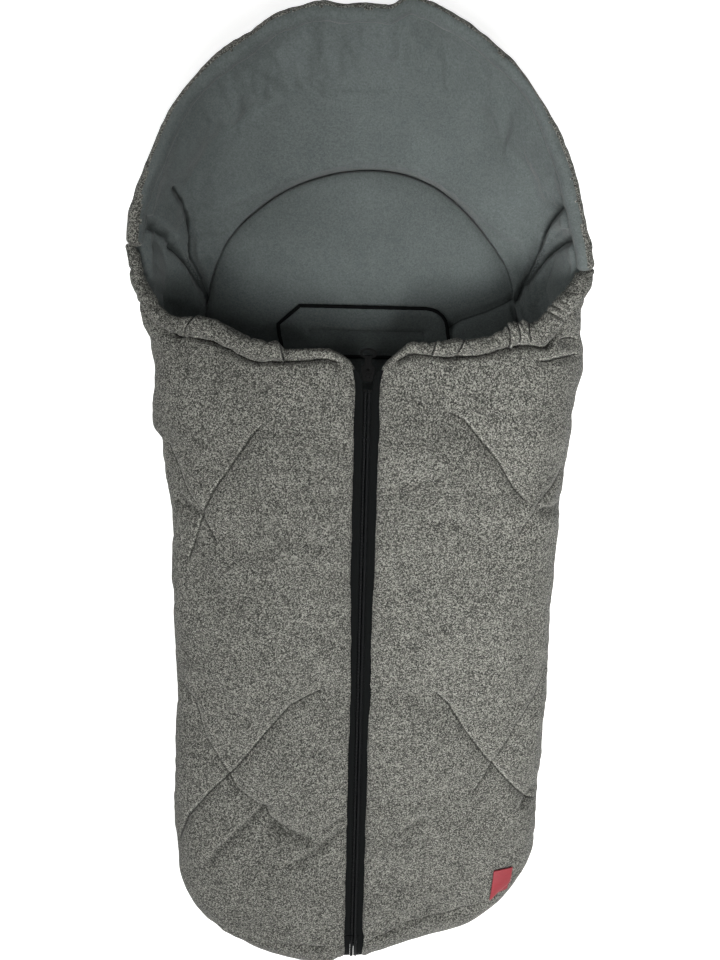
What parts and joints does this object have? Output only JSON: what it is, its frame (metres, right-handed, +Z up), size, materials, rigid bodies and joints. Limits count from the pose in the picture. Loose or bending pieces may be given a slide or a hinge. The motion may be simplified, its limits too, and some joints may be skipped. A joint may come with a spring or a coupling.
{
  "type": "footmuff",
  "caption": "Padded fleece-lined footmuff with a front zip, fold-back front leaves, a rolled collar at the mouth, a gathered hood and a harness slot.",
  "frame": {"origin": "on the floor, under the middle of the footmuff's bounding box", "axes": "+X to the right of the front as it is looked at, +Y to the head, +Z up out of the front; the footmuff lies on its back"},
  "size_m": [0.4338, 0.9803, 0.105],
  "materials": {
    "melange": "grey melange woven cloth, matt, with dark and light flecks",
    "fleece": "blue-grey brushed fleece, matt",
    "wadding": "off-white polyester wadding",
    "tape": "black woven zip tape",
    "coil": "black moulded zip teeth, satin",
    "black_metal": "black enamelled die-cast metal, satin",
    "elastic": "off-white braided elastic",
    "binding": "near-black woven binding",
    "label": "plain red woven tape"
  },
  "bodies": {
    "back": {"back_outer": "melange", "hood_outer": "melange", "hood_rim": "melange", "back_liner": "fleece", "hood_liner": "fleece", "slot_facing": "fleece", "back_wadding": "wadding", "hood_wadding": "wadding", "hood_elastic": "elastic", "slot_binding": "binding", "label": "label", "bottom_stop": "black_metal", "left_side_outer": "melange", "left_side_wadding": "wadding", "left_side_liner": "fleece", "left_side_collar": "melange", "left_foot_row": "coil", "left_foot_tape": "tape", "right_side_outer": "melange", "right_side_wadding": "wadding", "right_side_liner": "fleece", "right_side_collar": "melange", "right_foot_row": "coil", "right_foot_tape": "tape"},
    "left_leaf": {"left_leaf_outer": "melange", "left_leaf_wadding": "wadding", "left_leaf_liner": "fleece", "left_leaf_collar": "melange", "left_zip_row": "coil", "left_zip_tape": "tape", "left_top_stop": "black_metal"},
    "right_leaf": {"right_leaf_outer": "melange", "right_leaf_wadding": "wadding", "right_leaf_liner": "fleece", "right_leaf_collar": "melange", "right_zip_row": "coil", "right_zip_tape": "tape", "right_top_stop": "black_metal"},
    "slider": {"slider_body": "black_metal"},
    "tab": {"pull_tab": "black_metal"}
  },
  "joints": [
    {"name": "left_leaf_fold", "type": "hinge", "parent": "back", "child": "left_leaf", "pos_m": [-0.0145, -0.43, 0.1026], "axis": [0.223, -0.9748, 0], "range_deg": [0, 140]},
    {"name": "right_leaf_fold", "type": "hinge", "parent": "back", "child": "right_leaf", "pos_m": [0.0145, -0.43, 0.1026], "axis": [0.223, 0.9748, 0], "range_deg": [0, 140]},
    {"name": "zip_slide", "type": "slide", "parent": "back", "child": "slider", "axis": [0, -1, 0], "range_m": [0, 0.561]},
    {"name": "pull_tab_hinge", "type": "hinge", "parent": "slider", "child": "tab", "pos_m": [0, 0.173, 0.1022], "axis": [1, 0, 0], "range_deg": [0, 175]}
  ],
  "couplings": [
    {"joint": "right_leaf_fold", "follows": "left_leaf_fold", "ratio": 1},
    {"joint": "zip_slide", "follows": "left_leaf_fold", "m_per_rad": 0.2292}
  ]
}
